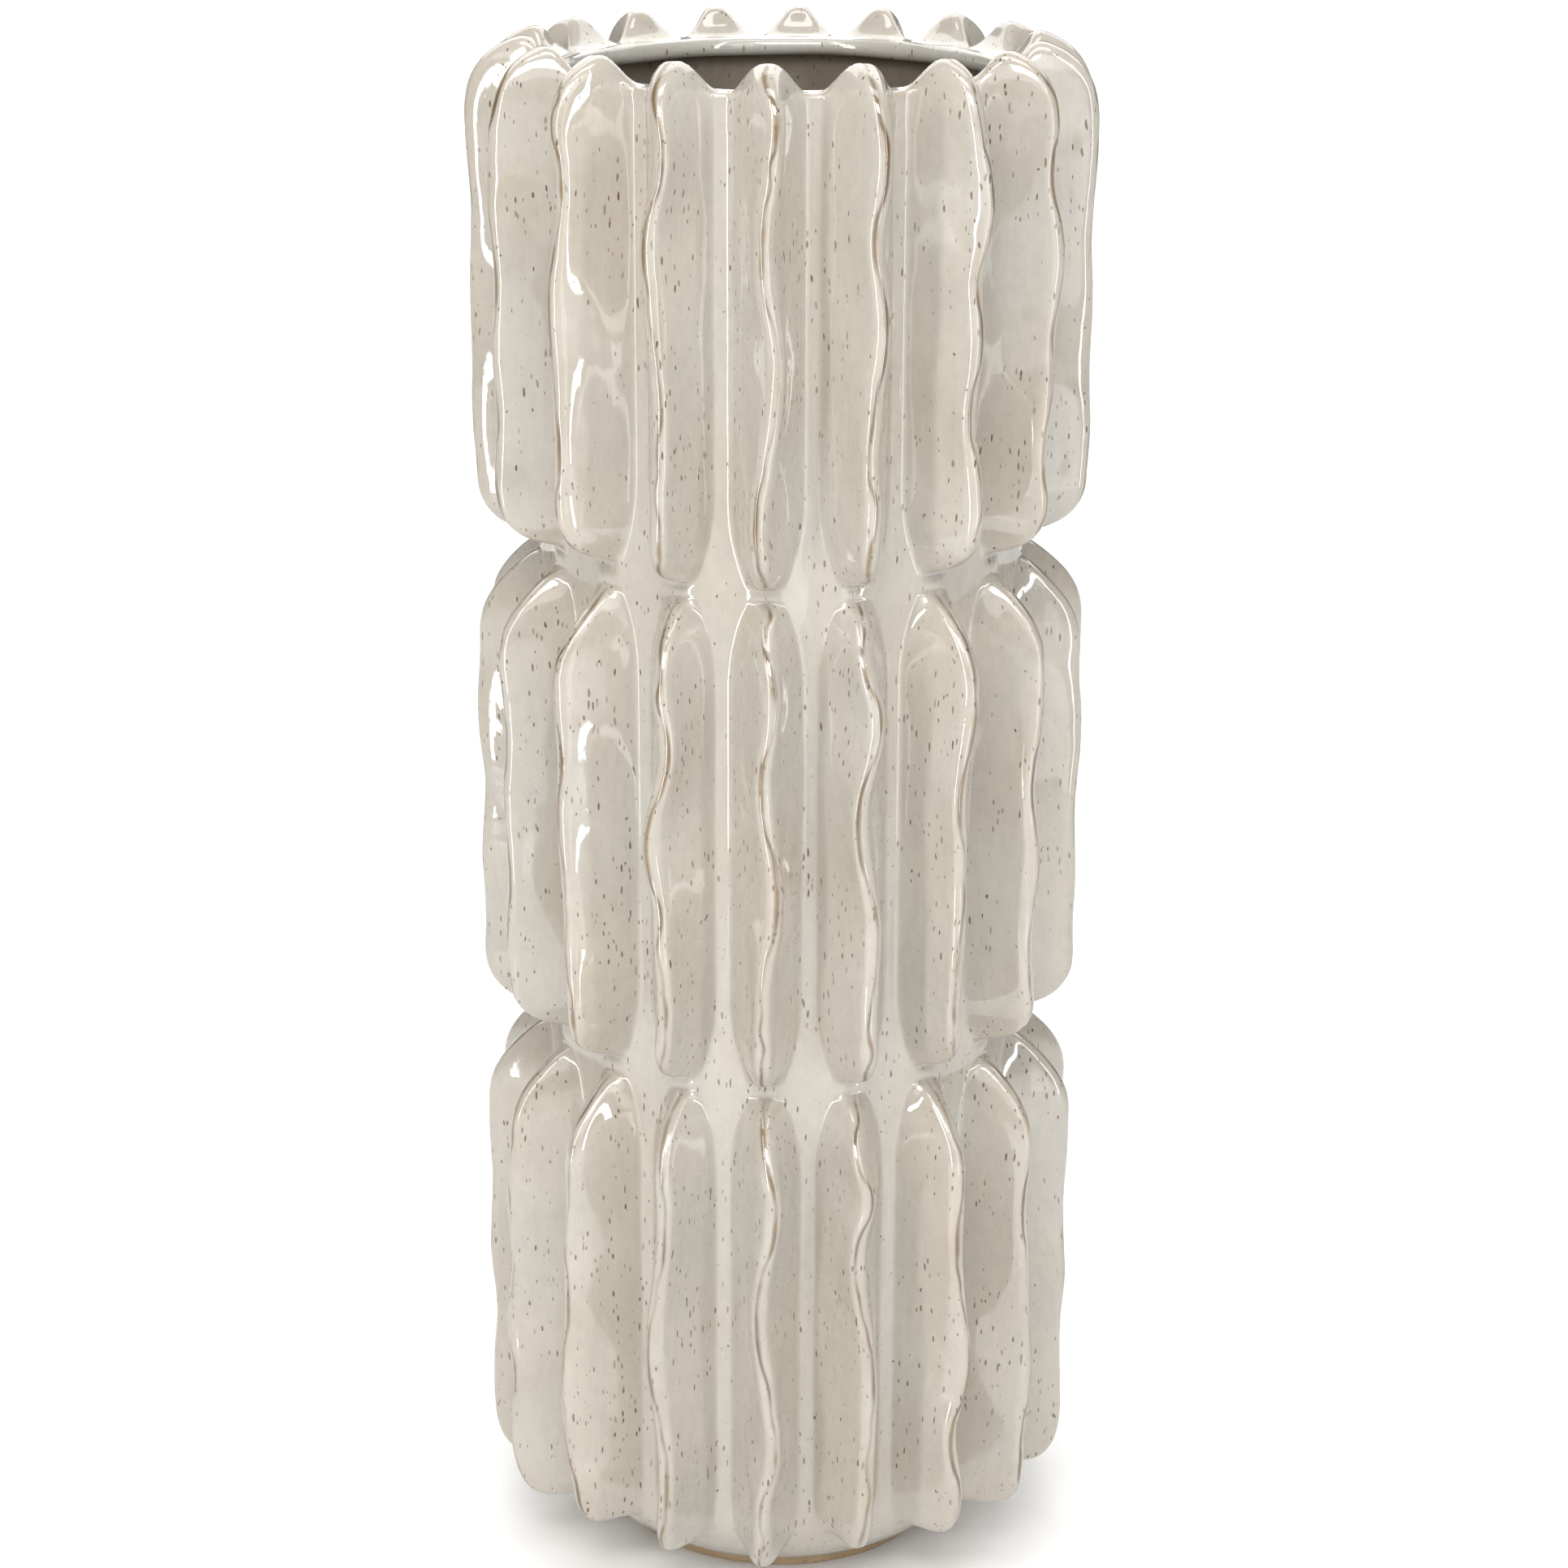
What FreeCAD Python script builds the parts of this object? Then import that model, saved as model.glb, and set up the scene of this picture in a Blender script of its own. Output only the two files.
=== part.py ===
"""Stoneware vase: a cylindrical wall with a foot, a lip and three tiers of upright clay ribs.

Millimetres, +Z up, origin at the middle of the circle that the foot stands on. The front of the
vase faces -Y. Every piece is one piece of clay as it is made: the wall, the slab that closes the
bottom, the foot ring, the coil that thickens the lip, and each of the ribs. They meet face to face.
"""
import FreeCAD, Part

import math
import os

# ---- driving dimensions -------------------------------------------------------------------------
WALL_R = 62.5             # outer radius of the wall
WALL_T = 5.0              # wall thickness
WALL_TOP = 398.0          # top of the wall, under the lip coil
WALL_STRAIGHT_FROM = 24.0  # the outside of the wall is upright above this height
BELLY_CORNER_Z = 14.5     # control height of the curve from the wall in to the foot

FOOT_R = 43.5             # outer radius of the foot ring
FOOT_BORE_R = 36.0
FOOT_H = 2.2
FOOT_CHAMFER = 0.5
FOOT_STEP = 0.4           # the slab stands this much outside the foot ring

FLOOR_TOP = 8.5           # upper face of the slab
FLOOR_FLAT_R = 43.0       # the inside starts to curve up here
INNER_CORNER_Z = 16.0
INNER_STRAIGHT_FROM = 30.0

LIP_TOP = 402.7
LIP_BORE_R = 53.5         # narrowest part of the mouth
LIP_EDGE_R = 55.2         # inner edge of the lip's flat top
LIP_BORE_Z = (399.0, 401.5)
LIP_UNDER_R = 54.6        # the coil's lower inner edge, which overhangs the wall

RIBS_PER_TIER = 18
RIB_PITCH = 360.0 / RIBS_PER_TIER
FIRST_RIB_ANGLE = -3.4    # degrees from the front (-Y) towards +X
CREST_R = 80.0
TIER_H = 131.3
TIER_FOOT_Z = {"lower": 16.2, "middle": 147.5, "upper": 278.8}

TIP_LENGTH = 20.0         # a rib's sides come in over this length at its ends
TIP_CREST_R = 64.3        # crest radius where a rib's end reaches the wall
TOP_GAP = 0.4             # upper end of a lower or middle rib to the top of its tier
FOOT_GAP = 3.6            # lower end of a middle or upper rib to the foot of its tier
FOOT_CORNER = 12.0        # the crest turns in over this length at the lower end
FOOT_HALF_W = 6.9         # half the rib's width where it leaves the wall
ROOT_R = 56.0             # ribs are shaped in to here, then trimmed to the wall

BOTTOM_Z = 15.0           # lowest point of the lower ribs
BOTTOM_CORNER = 15.0
BOTTOM_CREST_R = 68.0
PEAK_Z = 410.2            # highest point of the upper ribs
PEAK_R = 64.5
PEAK_LENGTH = 22.3        # the crest turns in over this length below the peak
PEAK_NARROWING = 11.0     # and the sides over this length

# Half the rib's width from the wall to its crest: (share of the height, share of FOOT_HALF_W).
RIB_OUTLINE = ((0.0, 1.24), (0.10, 1.0), (0.28, 0.80), (0.50, 0.59), (0.72, 0.42), (0.88, 0.30), (0.97, 0.18))
ROOT_SHARE = 0.5          # the part of a rib that is trimmed away narrows to this
LEAN_POWER = 1.3          # a rib follows its crest sideways with its height to this power
PEAK_FOOT_SHARE = 0.3     # above the lip, the outline starts this far out from the rib's inner side

# Heights of a rib's level sections: from its lower end, from its upper end, and spans in between.
LOWER_STATIONS = (0.3, 1.0, 2.2, 4.0, 6.5, 10.0, 14.0)
UPPER_STATIONS = {
    "upper": (0.25, 1.0, 2.2, 4.0, 6.0, 7.5, 10.0, 15.0),
    "middle": (0.5, 2.0, 5.0, 9.0, 14.0),
    "lower": (0.5, 2.0, 5.0, 9.0, 14.0),
}
MIDDLE_SPANS = 11

# Where each crest was pinched sideways while the clay was soft. The key is the rib's place counted
# from the front one, to the right if positive. Each pair is (height above the tier's foot, sideways).
PINCHES = {
    "upper": {
        -4: ((30, 1.0), (62, -1.0), (95, 1.5)),
        -3: ((21, 0.4), (31, -1.2), (40, -0.4), (51, -1.0), (71, 1.2), (103, -3.2), (121, 0.5)),
        -2: ((23, -0.8), (36, 0.8), (66, -2.1), (104, 2.3), (117, 0.0)),
        -1: ((21, 1.5), (51, 2.4), (88, -1.0), (111, 3.6)),
        0: ((21, -1.1), (61, 3.5), (87, 0.2), (121, 2.8)),
        1: ((16, -1.0), (24, -0.4), (36, -1.8), (71, 1.3), (91, -0.8), (109, 1.0)),
        2: ((27, 0.5), (48, -2.5), (69, -0.4), (76, -1.1), (96, 2.4), (121, -1.0)),
        3: ((21, -1.2), (33, -3.2), (59, 0.2), (84, 2.4), (104, -1.8), (114, 0.2)),
        4: ((25, -1.0), (55, 1.2), (90, -1.2)),
    },
    "middle": {
        -4: ((28, -1.2), (70, 1.0), (105, -0.8)),
        -3: ((27, 0.4), (48, 2.0), (78, 0.8), (112, 0.2)),
        -2: ((22, 2.5), (38, 0.0), (57, -0.1), (75, -1.5), (88, -0.8), (107, -2.6)),
        -1: ((28, 2.6), (50, 1.5), (70, -1.7), (96, 3.8), (114, 1.6)),
        0: ((30, 0.2), (61, 3.4), (88, 0.2), (111, 2.8)),
        1: ((22, -0.2), (46, 1.0), (80, -3.6), (105, 1.3), (120, -1.8)),
        2: ((22, -3.3), (32, -4.0), (60, -1.7), (80, -3.6), (102, 0.0)),
        3: ((32, -3.6), (55, -2.2), (76, -3.8), (102, -1.2)),
        4: ((35, 1.0), (66, -1.4), (100, 0.8)),
    },
    "lower": {
        -4: ((35, -1.5), (75, 1.2), (105, -0.8)),
        -3: ((22, -3.6), (39, -2.0), (52, -5.2), (69, -3.0), (89, -1.5), (96, -2.0), (112, -0.5)),
        -2: ((14, -0.2), (29, -3.0), (46, -3.4), (74, -1.1), (85, -2.1), (109, 0.2)),
        -1: ((24, 2.3), (62, -1.9), (100, 1.9)),
        0: ((19, 0.5), (37, 3.5), (77, -0.7), (106, 3.3)),
        1: ((34, 0.7), (52, 1.4), (94, -2.8), (107, 0.3), (122, -2.6)),
        2: ((19, -0.3), (31, -2.2), (54, 2.6), (94, -1.8), (105, -0.3)),
        3: ((19, -1.0), (52, 1.2), (94, -3.4), (105, -1.8)),
        4: ((28, 1.0), (60, -1.2), (98, 1.0)),
    },
}
BACK_FROM = 5             # ribs from this place on stand at the back
# Not all ribs of a tier end at one height: how much higher than the lowest each lower end is.
FOOT_RISE = {
    "upper": {-3: 2.0, -2: 3.2, -1: 0.6, 0: 0.0, 1: 0.2, 2: 1.6, 3: 2.4},
    "middle": {-3: 2.6, -2: 1.6, -1: 0.4, 0: 0.0, 1: 0.2, 2: 1.2, 3: 1.6},
    "lower": {-3: 0.0, -2: 2.4, -1: 2.0, 0: 0.4, 1: 4.2, 2: 3.0, 3: 1.6},
}


def vector(x, y, z):
    """A point in millimetres."""
    return FreeCAD.Vector(x, y, z)


def revolve(edges):
    """The solid of revolution about Z of a closed outline drawn in the XZ plane."""
    face = Part.Face(Part.Wire(edges))
    solid = face.revolve(vector(0, 0, 0), vector(0, 0, 1), 360)
    return Part.Solid(solid) if solid.ShapeType == "Shell" else solid


def line(start, end):
    """A straight edge between two (radius, height) points."""
    return Part.makeLine(vector(start[0], 0, start[1]), vector(end[0], 0, end[1]))


def corner_curve(start, corner, end):
    """A round corner between two (radius, height) points, drawn in towards corner."""
    curve = Part.BezierCurve()
    curve.setPoles([vector(r, 0, z) for r, z in (start, corner, end)])
    return curve.toShape()


# ---- wall, slab, foot and lip -------------------------------------------------------------------
BELLY_START = (FOOT_R + FOOT_STEP, FOOT_H)
BELLY_CORNER = (WALL_R, BELLY_CORNER_Z)
BELLY_END = (WALL_R, WALL_STRAIGHT_FROM)


def vessel_core(top):
    """Everything inside the outer face of the wall, from the slab's underside up to top."""
    return revolve([
        line((0, FOOT_H), BELLY_START),
        corner_curve(BELLY_START, BELLY_CORNER, BELLY_END),
        line(BELLY_END, (WALL_R, top)),
        line((WALL_R, top), (0, top)),
        line((0, top), (0, FOOT_H)),
    ])


def vessel_hollow(top):
    """The space inside the wall, down to the slab's upper face."""
    inner_r = WALL_R - WALL_T
    flat_end = (FLOOR_FLAT_R, FLOOR_TOP)
    upright_start = (inner_r, INNER_STRAIGHT_FROM)
    return revolve([
        line((0, FLOOR_TOP), flat_end),
        corner_curve(flat_end, (inner_r, INNER_CORNER_Z), upright_start),
        line(upright_start, (inner_r, top)),
        line((inner_r, top), (0, top)),
        line((0, top), (0, FLOOR_TOP)),
    ])


def make_body_wall():
    """The wall above the slab's upper face."""
    wall = vessel_core(WALL_TOP).cut(vessel_hollow(WALL_TOP))
    return wall.cut(Part.makeCylinder(2 * WALL_R, FLOOR_TOP))


def make_floor_slab():
    """The slab that closes the bottom, with the wall's curve on its rim."""
    return vessel_core(WALL_TOP).common(Part.makeCylinder(2 * WALL_R, FLOOR_TOP))


def make_foot_ring():
    """The unglazed ring that the vase stands on."""
    outer = FOOT_R - FOOT_CHAMFER
    inner = FOOT_BORE_R + FOOT_CHAMFER
    outline = [(inner, 0), (outer, 0), (FOOT_R, FOOT_CHAMFER), (FOOT_R, FOOT_H),
               (FOOT_BORE_R, FOOT_H), (FOOT_BORE_R, FOOT_CHAMFER)]
    return revolve([line(a, b) for a, b in zip(outline, outline[1:] + outline[:1])])


def make_rim_ring():
    """The coil on top of the wall, which rounds inwards and overhangs it."""
    bore_low = (LIP_BORE_R, LIP_BORE_Z[0])
    bore_high = (LIP_BORE_R, LIP_BORE_Z[1])
    return revolve([
        line((LIP_UNDER_R, WALL_TOP), (WALL_R, WALL_TOP)),
        line((WALL_R, WALL_TOP), (WALL_R, LIP_TOP)),
        line((WALL_R, LIP_TOP), (LIP_EDGE_R, LIP_TOP)),
        corner_curve((LIP_EDGE_R, LIP_TOP), (LIP_BORE_R, LIP_TOP), bore_high),
        line(bore_high, bore_low),
        corner_curve(bore_low, (LIP_BORE_R, WALL_TOP), (LIP_UNDER_R, WALL_TOP)),
    ])


# ---- ribs ---------------------------------------------------------------------------------------
def section_parameters():
    """Where the section's points lie along its spline, the same for every section of every rib."""
    outline = [(ROOT_R, ROOT_SHARE * FOOT_HALF_W)]
    for share, widening in RIB_OUTLINE:
        outline.append((WALL_R + share * (CREST_R - WALL_R), widening * FOOT_HALF_W))
    points = outline + [(CREST_R, 0.0)] + [(r, -half) for r, half in outline[::-1]]
    lengths = [0.0]
    for start, end in zip(points, points[1:]):
        lengths.append(lengths[-1] + math.dist(start, end))
    return [length / lengths[-1] for length in lengths]


SECTION_PARAMETERS = section_parameters()


def pinches_of(tier, place):
    """Crest pinches of one rib. Those at the back are the front ones turned upside down."""
    if place < BACK_FROM:
        return PINCHES[tier][place]
    front = PINCHES[tier][place - RIBS_PER_TIER // 2]
    return tuple((TIER_H - height, -sideways) for height, sideways in reversed(front))


def crest_sideways(tier, place, z):
    """How far the crest stands to one side of the rib's middle plane at height z."""
    height = z - TIER_FOOT_Z[tier]
    stations = ((0, 0.0),) + pinches_of(tier, place) + ((TIER_H, 0.0),)
    for (low, start), (high, end) in zip(stations, stations[1:]):
        if low <= height <= high:
            ease = 0.5 - 0.5 * math.cos(math.pi * (height - low) / (high - low))
            return start + (end - start) * ease
    return 0.0


def crest_swell(tier, place, z):
    """The slight swelling of the crest line outwards and inwards along the rib."""
    phase = 2.4 * place + TIER_FOOT_Z[tier]
    return 0.4 * math.sin(z / 5.9 + phase) + 0.3 * math.sin(z / 9.7 + 1.7 * phase)


def top_crest_r(distance):
    """Crest radius near the gently sloping upper end of a lower or middle rib."""
    inward = max(0.0, 1 - distance / TIP_LENGTH)
    return CREST_R - (CREST_R - TIP_CREST_R) * inward ** 1.88


def blunt_crest_r(distance, length, end_r):
    """Crest radius near a blunt lower end, where the crest turns in over length to end_r."""
    inward = max(0.0, 1 - distance / length)
    return end_r + (CREST_R - end_r) * (1 - inward ** 2.2) ** 0.6


def peak_crest_r(distance):
    """Crest radius on the outer side of an upper rib's peak."""
    rise = max(0.0, 1 - distance / PEAK_LENGTH)
    return PEAK_R + (CREST_R - PEAK_R) * (1 - rise ** 3.2) ** 0.71


def end_narrowing(distance, length):
    """Share of the full width at this distance from a rib's end."""
    inward = max(0.0, 1 - distance / length)
    return (1 - inward ** 2.6) ** 0.62


def lower_end_z(tier, place):
    """Height of a rib's lower end."""
    start = BOTTOM_Z if tier == "lower" else TIER_FOOT_Z[tier] + FOOT_GAP
    return start + FOOT_RISE[tier].get(place, 1.5 + 1.5 * math.sin(2.1 * place))


def upper_end_z(tier):
    """Height of a rib's upper end."""
    return PEAK_Z if tier == "upper" else TIER_FOOT_Z[tier] + TIER_H - TOP_GAP


def rib_section(tier, place, z):
    """Root radius, crest radius, half width and crest offset of one rib's level section at z."""
    above = z - lower_end_z(tier, place)
    below = upper_end_z(tier) - z
    root_r = ROOT_R
    if tier == "lower":
        crest_r = blunt_crest_r(above, BOTTOM_CORNER, BOTTOM_CREST_R)
    else:
        crest_r = blunt_crest_r(above, FOOT_CORNER, TIP_CREST_R)
    width = FOOT_HALF_W * end_narrowing(above, TIP_LENGTH)
    if tier == "upper":
        crest_r = min(crest_r, peak_crest_r(below))
        width *= end_narrowing(below, PEAK_NARROWING)
        above_lip = max(0.0, z - LIP_TOP) / (PEAK_Z - LIP_TOP)
        root_r += (PEAK_R - ROOT_R) * above_lip ** 0.8
    else:
        crest_r = min(crest_r, top_crest_r(below))
        width *= end_narrowing(below, TIP_LENGTH)
    full_share = max(0.0, (crest_r - WALL_R) / (CREST_R - WALL_R))
    crest_r += crest_swell(tier, place, z) * full_share
    return root_r, crest_r, width, crest_sideways(tier, place, z) * full_share


def section_wire(tier, place, z):
    """One level section of a rib: a spline round the crest, closed by a short line at the root."""
    root_r, crest_r, width, sideways = rib_section(tier, place, z)
    wall_r = max(root_r + PEAK_FOOT_SHARE * (crest_r - root_r), WALL_R)
    right = [vector(ROOT_SHARE * width, -root_r, z)]
    left = [vector(-ROOT_SHARE * width, -root_r, z)]
    for share, widening in RIB_OUTLINE:
        radius = wall_r + share * (crest_r - wall_r)
        lean = sideways * share ** LEAN_POWER
        right.append(vector(lean + widening * width, -radius, z))
        left.append(vector(lean - widening * width, -radius, z))
    points = left + [vector(sideways, -crest_r, z)] + right[::-1]
    curve = Part.BSplineCurve()
    curve.interpolate(Points=points, Parameters=SECTION_PARAMETERS)
    return Part.Wire([curve.toShape(), Part.makeLine(points[-1], points[0])])


def station_heights(tier, place):
    """Heights of a rib's level sections: close together at the ends, even in between."""
    start = lower_end_z(tier, place)
    end = upper_end_z(tier)
    heights = [start + rise for rise in LOWER_STATIONS]
    span = (end - UPPER_STATIONS[tier][-1] - heights[-1]) / MIDDLE_SPANS
    for _ in range(1, MIDDLE_SPANS):
        heights.append(heights[-1] + span)
    return heights + [end - drop for drop in reversed(UPPER_STATIONS[tier])]


def make_rib(tier, place, trim):
    """One rib at its place round the vase, trimmed to the wall's outer face."""
    wires = [section_wire(tier, place, z) for z in station_heights(tier, place)]
    rib = Part.makeLoft(wires, True, False)
    rib.rotate(vector(0, 0, 0), vector(0, 0, 1), FIRST_RIB_ANGLE + place * RIB_PITCH)
    return rib.cut(trim)


def export(name, shape):
    """Write one node, as the single solid it is."""
    solids = shape.Solids
    if len(solids) != 1 or not solids[0].isValid():
        raise ValueError("%s is not one valid solid: %d" % (name, len(solids)))
    solids[0].exportStep("parts/%s.step" % name)
    print("%-16s %8.1f cm3" % (name, solids[0].Volume / 1000))


def main():
    """Writes every node to the parts folder."""
    os.makedirs("parts", exist_ok=True)
    export("body_wall", make_body_wall())
    export("floor_slab", make_floor_slab())
    export("foot_ring", make_foot_ring())
    export("rim_ring", make_rim_ring())
    trim = vessel_core(LIP_TOP)
    half = RIBS_PER_TIER // 2
    for tier in TIER_FOOT_Z:
        for number in range(1, RIBS_PER_TIER + 1):
            place = number - 1 if number <= half + BACK_FROM else number - 1 - RIBS_PER_TIER
            export("rib_%s_%02d" % (tier, number), make_rib(tier, place, trim))


main()
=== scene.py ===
"""The glazed skin of a ribbed stoneware vase, built round the CAD model's frame.

Lengths are millimetres until a mesh is made, and heights are above the floor. The front of the vase
faces -Y. Each rib is one closed tile of skin from valley to valley, and the tiles meet along the
valleys and between the tiers.
"""

import math

import bpy
import numpy as np
from mathutils import Matrix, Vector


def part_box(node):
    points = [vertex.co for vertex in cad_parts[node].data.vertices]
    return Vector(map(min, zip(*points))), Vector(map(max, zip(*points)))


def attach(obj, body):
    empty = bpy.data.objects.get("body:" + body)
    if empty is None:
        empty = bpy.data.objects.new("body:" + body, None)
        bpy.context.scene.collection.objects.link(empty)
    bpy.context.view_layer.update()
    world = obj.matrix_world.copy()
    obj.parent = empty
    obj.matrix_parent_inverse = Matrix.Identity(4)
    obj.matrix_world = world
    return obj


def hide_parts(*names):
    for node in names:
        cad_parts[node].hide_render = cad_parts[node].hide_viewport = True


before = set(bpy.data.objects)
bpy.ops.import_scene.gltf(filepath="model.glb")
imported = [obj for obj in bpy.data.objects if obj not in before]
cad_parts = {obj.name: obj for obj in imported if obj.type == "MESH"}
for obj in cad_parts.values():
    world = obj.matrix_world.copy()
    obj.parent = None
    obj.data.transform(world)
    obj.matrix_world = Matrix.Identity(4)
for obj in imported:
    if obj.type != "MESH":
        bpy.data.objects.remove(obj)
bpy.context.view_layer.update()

MM = 0.001
TAU = 2 * math.pi


def box_mm(node):
    """Lowest and highest corner of a CAD node, in millimetres."""
    low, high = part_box(node)
    return np.array(low) / MM, np.array(high) / MM


# ---- driving dimensions -------------------------------------------------------------------------
TIER_NAMES = ("lower", "middle", "upper")
TIER_JOINTS = (149.3, 280.6)    # heights where the tiles of two tiers meet
RIBS_PER_TIER = 18
RIB_PITCH = 360.0 / RIBS_PER_TIER
FIRST_RIB_ANGLE = -3.4          # degrees from the front (-Y) towards +X
FRONT_PLACES = 4                # the front ribs are the first one and this many either side of it

WALL_R = box_mm("body_wall")[1][0]
WALL_TOP = box_mm("body_wall")[1][2]
SLAB_TOP = box_mm("floor_slab")[1][2]
LIP_TOP = box_mm("rim_ring")[1][2]
FOOT_H = box_mm("foot_ring")[1][2]
FOOT_R = box_mm("foot_ring")[1][0]
CREST_R = 80.0
CREST_HEIGHT = CREST_R - WALL_R
WALL_THICKNESS = 5.0
FOOT_WIDTH = 7.5
SKIN = 1.3                      # thickness of a rib's tile at its edges
BEHIND_SKIN = 0.35              # the wall's hidden outside stays this far behind the tiles

BELLY_FOOT = (FOOT_R + 0.4, FOOT_H)
BELLY_CORNER = (WALL_R, 14.5)
BELLY_TOP = (WALL_R, 24.0)

LIP_CORNER = 1.7                # radius of the lip's outer corner
LIP_TILE_R = 56.0               # the ribs' tiles end here on top of the lip
# The lip's inner side: (radius, height from the lip's top).
LIP_INSIDE = ((LIP_TILE_R + 0.5, -0.03), (LIP_TILE_R, -0.005), (55.1, -0.12), (54.3, -0.65),
              (53.75, -1.7), (53.6, -2.9), (53.9, -3.9), (54.6, -4.55), (55.8, -4.75))

SADDLE = 0.9                    # the skin stands this high over the wall between two rib ends
SADDLE_REACH = 2.6              # and sinks to the wall over this length
SWELL = 0.8                     # the wall between the ribs swells this much near a joint
SWELL_REACH = 11.0              # and over this length

HALF_WIDTH = 6.9                # half a rib's width where it leaves the wall
END_HALF_WIDTH = 3.5            # and where its end runs out
CREST_ROUND = 0.97              # the first controls of a section lie this far either side of the crest
VALLEY_SHARE = 0.94             # a rib's sides end within this share of the way to the valley
LEAN_POWER = 1.3                # a rib follows its crest sideways with its height to this power

END_LENGTH = 24.0               # a rib's sides come in over this length at its ends
LOWER_GAP = 0.6                 # and start this far in from the lower end of the crest's path
UPPER_GAP = 1.6                 # or from its upper end
LOWER_END = (2.0, 0.8)          # powers of the sides' curve at a lower end, which is pointed
FOOT_END = (3.0, 0.6)           # at the lower ends of the lowest tier, which are blunt
UPPER_END = (2.4, 0.66)         # and at an upper end, which is between the two

TOE_LENGTH = 24.0               # a rib's section is rounded over up to this far above its tile's start
TOE_BLEND = 12.0                # and turns back to the sharper one over this length
TOE_ROUND = 0.35                # share of the rounding at a toe
FOOT_TOE_ROUND = 0.95           # at a toe of the lowest tier
PEAK_LENGTH = 13.0              # the rounding of an upper rib's peak starts this far below the lip
PEAK_BLEND = 10.0
PEAK_ROUND = 0.25
FRONT_PEAK_ROUND = 0.95

# Half of a rib's level section: (share of the half width, share of the height), crest first.
SECTION = ((0.14, 1.0), (0.33, 0.93), (0.48, 0.76), (0.67, 0.54),
           (0.89, 0.32), (1.11, 0.12), (1.26, 0.01), (1.40, 0.0))
# The same where the rib is rounded over.
ARCH = ((0.14, 1.0), (0.32, 0.98), (0.52, 0.88), (0.72, 0.68),
        (0.92, 0.42), (1.10, 0.19), (1.25, 0.04), (1.40, 0.0))

# The crest's path at a rib's ends: (radius, height from the rib's own lower or upper end).
BLUNT_END = ((62.5, -1.7), (62.8, -0.9), (64.4, 0.1), (67.2, 0.9), (70.6, 2.0), (74.4, 4.1),
             (77.4, 7.2), (79.3, 11.0), (80.0, 15.5), (80.0, 22.0))
BOTTOM_END = ((56.7, -3.4), (58.0, -2.0), (59.6, -0.5), (62.6, 0.2), (67.0, 0.2), (71.5, 0.8),
              (75.0, 2.3), (77.6, 5.4), (79.2, 9.6), (80.0, 15.5), (80.0, 22.0))
TOP_END = ((80.0, -26.0), (80.0, -20.0), (78.8, -14.6), (75.9, -9.6), (71.6, -5.0),
           (67.2, -1.4), (64.1, 0.4), (62.7, 1.2), (62.5, 1.9))
PEAK_END = ((80.0, -24.0), (79.9, -17.0), (78.6, -10.6), (75.9, -6.0), (72.2, -2.8),
            (68.3, -0.8), (65.4, 0.0), (63.3, -0.7), (61.9, -2.6), (60.5, -4.6), (58.9, -6.1),
            (57.3, -7.0), (56.0, -7.3))

ROW_GAP = 0.9                   # between rows of points on a rib's upright stretch
PLAIN_ROW_GAP = 0.8             # and on the wall below the rib
LEAST_PLAIN = 0.05              # a shorter stretch of wall past a rib's end gets no rows
LOWER_END_ROWS = 42             # rows on the crest's path at a rib's ends
UPPER_END_ROWS = 40
PEAK_ROWS = 60
LIP_CORNER_POINTS = 12

CUT_GAP = 1.5                   # a CAD rib's crest is read off level cuts this far apart
CUT_MARGINS = (2.0, 1.0)        # which keep this far from its lower and upper ends
CREST_DEPTH = 0.15              # the crest is what lies within this of the outermost point
FULL_FROM = 16.0                # its radius is followed from this far above the rib's lower end
FULL_TO = 23.0                  # to this far below its upper end

# Length and height of the clay's shallow waves.
WAVES = ((38.0, 0.15), (17.0, 0.05), (9.0, 0.02))
WAVE_SLANT = 0.35               # radians per millimetre round the rib
WAVE_WIDTH = 0.6                # a wave's width round the rib, as a share of its length

BEND_ROUNDS = 12                # rounds of smoothing for the crest's bend, the strength of the break
STRENGTH_ROUNDS = 40            # and its offset
OFFSET_ROUNDS = 8
CREST_BEND = 0.008              # bend of a crest, per millimetre, that carries the break fully to one side
FULL_BEND = 0.016               # bend at which the glaze breaks fully
END_BREAK = 0.55                # strength of the break at a rib's ends
BREAK_OFFSET = 0.45             # the tan break lies up to this far off the crest
BREAK_WIDTH = 0.75
EDGE_WIDTH = 0.42               # the brown line at its outer edge
THIN_WIDTH = 2.6                # thin glaze either side of the crest
LIP_EDGE_DROP = 1.0             # thin glaze on the lip's outer corner, this far before the flat top
LIP_EDGE_WIDTH = 1.1
LIP_EDGE_THIN = 1.6

CAMERA_AT = (0.68, -920.0, 512.0)
CAMERA_DOWN = 18.08             # degrees below the horizon
CAMERA_ROLL = 0.21
CAMERA_LENS = 82.9              # focal length over a sensor of SENSOR_WIDTH
SENSOR_WIDTH = 36.0


# ---- curves -------------------------------------------------------------------------------------
def arc_lengths(points):
    """Distance along a polyline at each of its points."""
    steps = np.linalg.norm(np.diff(points, axis=0), axis=1)
    return np.concatenate([[0.0], np.cumsum(steps)])


def along(points, shares):
    """Points at shares of a polyline's length."""
    lengths = arc_lengths(points)
    wanted = np.asarray(shares) * lengths[-1]
    return np.column_stack([np.interp(wanted, lengths, values) for values in points.T])


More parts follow.
